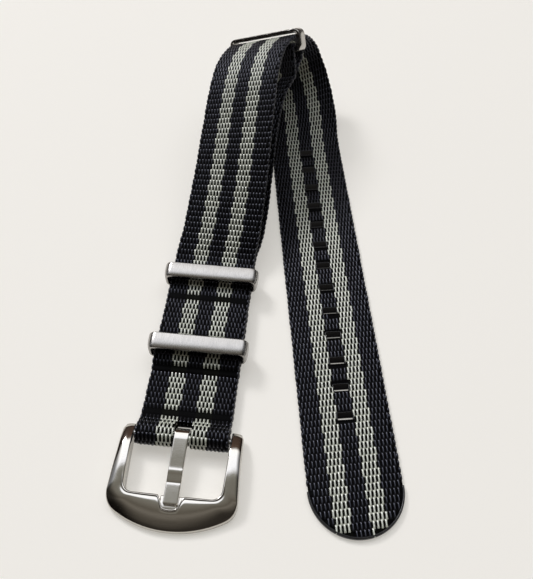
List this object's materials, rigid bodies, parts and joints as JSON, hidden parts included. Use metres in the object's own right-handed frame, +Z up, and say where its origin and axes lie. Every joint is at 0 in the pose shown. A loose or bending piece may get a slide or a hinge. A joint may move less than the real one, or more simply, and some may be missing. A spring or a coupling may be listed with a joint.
{
  "type": "fabric watch strap",
  "caption": "Fabric watch strap of striped webbing, laid folded, with a pin buckle on a sprung bar, metal keepers, an end ring and a short under-strap.",
  "frame": {"origin": "middle of the tail's underside, on the surface that the strap lies on", "axes": "+Y along the tail, away from its rounded tip; +Z up; the buckle end lies on the -X side, folded back over the tail's far end"},
  "size_m": [0.0608, 0.1395, 0.028],
  "materials": {
    "webbing": "woven polyamide webbing, black with a lighter stripe along each side",
    "polished_steel": "polished stainless steel",
    "satin_steel": "satin stainless steel with polished edges",
    "spring_bar_steel": "drawn stainless steel"
  },
  "bodies": {
    "strap": {"main_strap": "webbing", "under_strap": "webbing"},
    "buckle": {"buckle_frame": "polished_steel", "spring_bar_tube": "spring_bar_steel", "spring_bar_coil": "spring_bar_steel"},
    "tongue": {"buckle_tongue": "polished_steel"},
    "pin_left": {"spring_bar_pin_left": "spring_bar_steel"},
    "pin_right": {"spring_bar_pin_right": "spring_bar_steel"},
    "keeper_1": {"keeper_ring_1": "satin_steel"},
    "keeper_2": {"keeper_ring_2": "satin_steel"},
    "ring_end": {"end_ring": "satin_steel"}
  },
  "joints": [
    {"name": "buckle_turn", "type": "hinge", "parent": "strap", "child": "buckle", "pos_m": [-0.035, -0.0534, 0.0026], "axis": [-0.9854, 0.1702, 0], "range_deg": [-70, 45]},
    {"name": "tongue_swing", "type": "hinge", "parent": "buckle", "child": "tongue", "pos_m": [-0.035, -0.0534, 0.0026], "axis": [-0.9854, 0.1702, 0], "range_deg": [0, 90]},
    {"name": "pin_left_travel", "type": "slide", "parent": "buckle", "child": "pin_left", "axis": [0.9854, -0.1702, 0], "range_m": [0, 0.0011], "stiffness_N_per_m": 500, "springref_m": -0.002, "deforming": ["spring_bar_coil"]},
    {"name": "pin_right_travel", "type": "slide", "parent": "buckle", "child": "pin_right", "axis": [-0.9854, 0.1702, 0], "range_m": [0, 0.0011], "stiffness_N_per_m": 500, "springref_m": -0.002, "deforming": ["spring_bar_coil"]},
    {"name": "keeper_1_slide", "type": "slide", "parent": "strap", "child": "keeper_1", "axis": [0.1702, 0.9854, 0], "range_m": [-0.001, 0.006]},
    {"name": "keeper_2_slide", "type": "slide", "parent": "strap", "child": "keeper_2", "axis": [0.1702, 0.9854, 0], "range_m": [-0.0006, 0.0055]},
    {"name": "end_ring_tilt", "type": "hinge", "parent": "strap", "child": "ring_end", "pos_m": [-0.0095, 0.05422, 0.01844], "axis": [0.8211, -0.4005, 0.4067], "range_deg": [-2.5, 4]}
  ]
}
